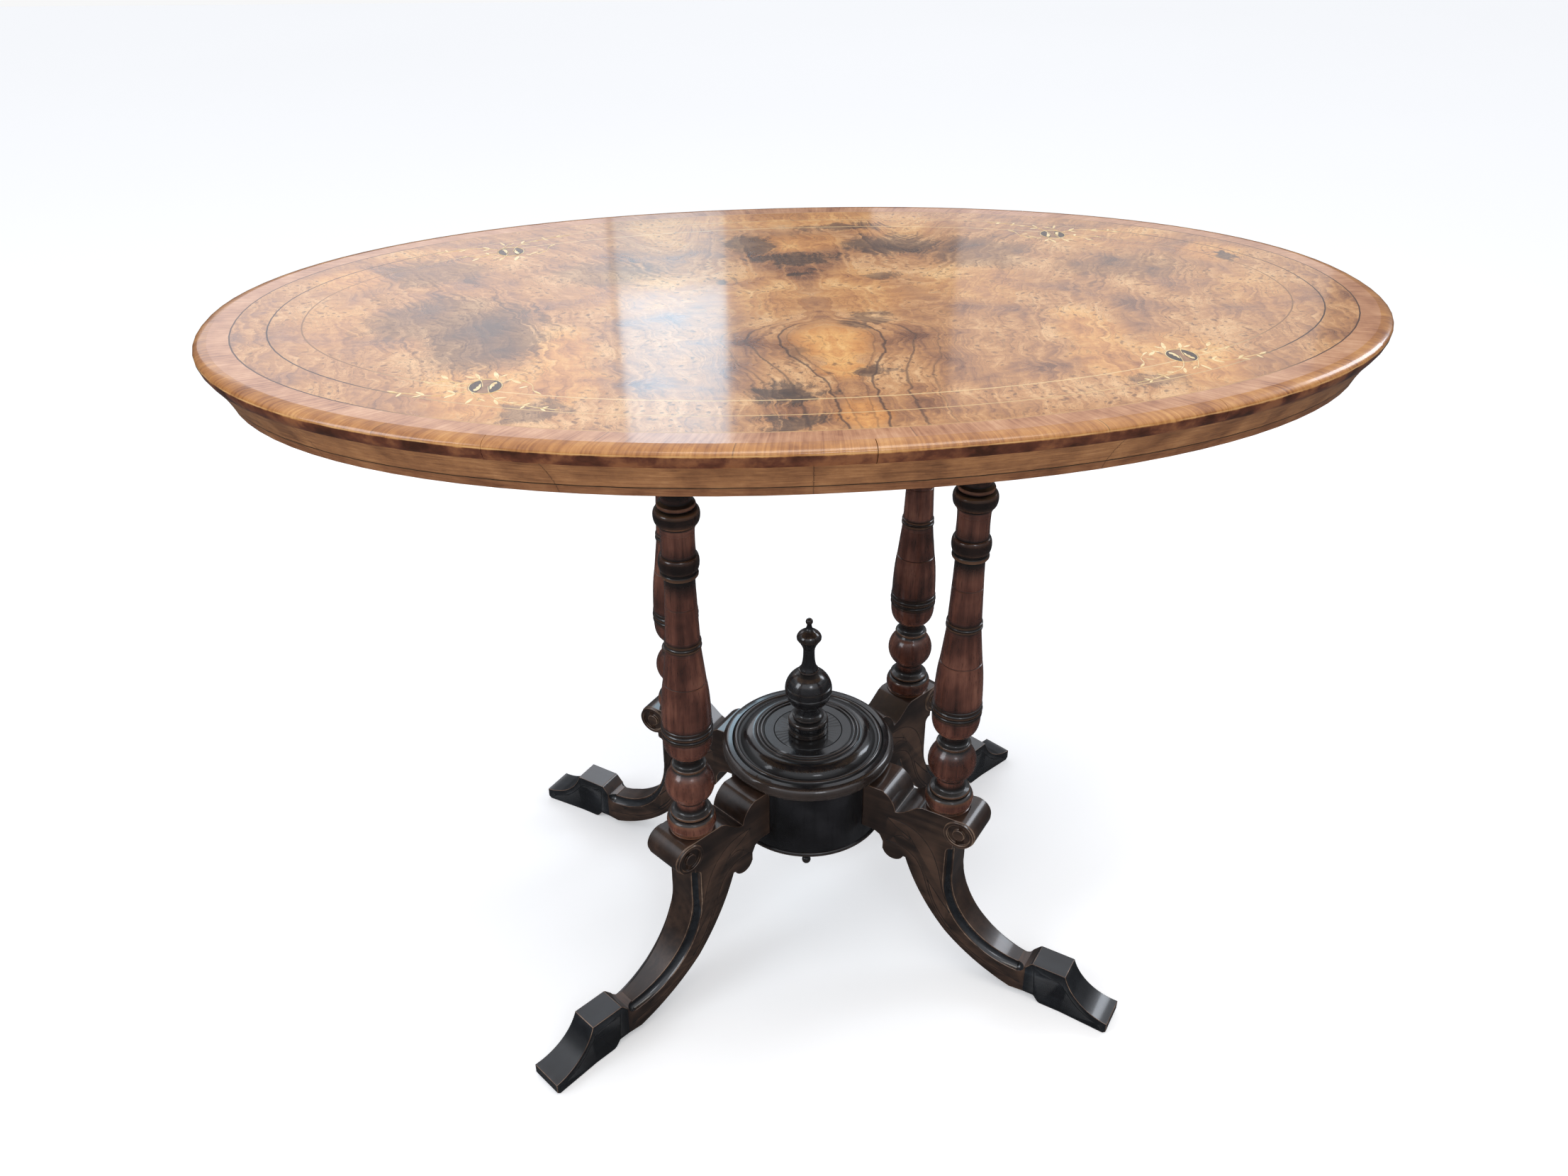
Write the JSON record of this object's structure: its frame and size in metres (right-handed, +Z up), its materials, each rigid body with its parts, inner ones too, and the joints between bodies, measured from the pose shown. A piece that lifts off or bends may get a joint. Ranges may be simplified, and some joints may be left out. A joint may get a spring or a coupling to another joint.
{
  "type": "centre table",
  "caption": "Oval inlaid walnut centre table with a tilting top on turned columns, a central drum and scrolled splay legs.",
  "frame": {"origin": "on the floor, under the middle of the oval top", "axes": "+X along the long axis of the top, +Y towards the tilt pivot at the back, +Z up"},
  "size_m": [1.013, 0.601, 0.71],
  "materials": {
    "burr_walnut": "french-polished, book-matched burr veneer",
    "crossbanding": "french-polished cross-grain walnut veneer",
    "moulding_walnut": "french-polished cross-grain walnut, darker below the lip",
    "frieze_walnut": "french-polished walnut veneer",
    "ebonised_line": "ebonised stringing",
    "boxwood_line": "boxwood stringing",
    "carcase_pine": "planed, unpolished and darkened with age",
    "frame_beech": "stained, unpolished",
    "column_walnut": "polished turned walnut with ebonised rings",
    "leg_walnut": "polished dark walnut, worn on the edges",
    "hub_walnut": "polished, ebonised walnut",
    "aged_brass": "aged and handled",
    "old_iron": "dull, slightly rusted wood screws"
  },
  "bodies": {
    "base": {"pillar_block": "frame_beech", "pivot_pins": "frame_beech", "keeper_plate": "aged_brass", "keeper_screws": "aged_brass", "column_front_left": "column_walnut", "column_front_right": "column_walnut", "column_back_left": "column_walnut", "column_back_right": "column_walnut", "leg_front_left": "leg_walnut", "leg_front_right": "leg_walnut", "leg_back_left": "leg_walnut", "leg_back_right": "leg_walnut", "drum_body": "hub_walnut", "drum_plate": "hub_walnut", "drum_lid": "hub_walnut", "finial": "hub_walnut", "pendant": "hub_walnut"},
    "top": {"top_core": "carcase_pine", "veneer_leaf_left": "burr_walnut", "veneer_leaf_right": "burr_walnut", "crossband": "crossbanding", "outer_string": "ebonised_line", "second_string": "ebonised_line", "third_string": "boxwood_line", "roundels": "ebonised_line", "edge_moulding": "moulding_walnut", "frieze_rail": "carcase_pine", "frieze_veneer": "frieze_walnut", "frieze_string": "ebonised_line", "frieze_band": "frieze_walnut", "bearer_left": "frame_beech", "bearer_right": "frame_beech", "bearer_screws": "old_iron", "catch_case": "aged_brass", "catch_screws": "aged_brass"},
    "catch_bolt": {"catch_bolt": "aged_brass"}
  },
  "joints": [
    {"name": "top_tilt", "type": "hinge", "parent": "base", "child": "top", "pos_m": [0, 0.13178, 0.67385], "axis": [-1, 0, 0], "range_deg": [0, 90]},
    {"name": "catch_bolt_slide", "type": "slide", "parent": "top", "child": "catch_bolt", "axis": [0, 1, 0], "range_m": [0, 0.008]}
  ]
}
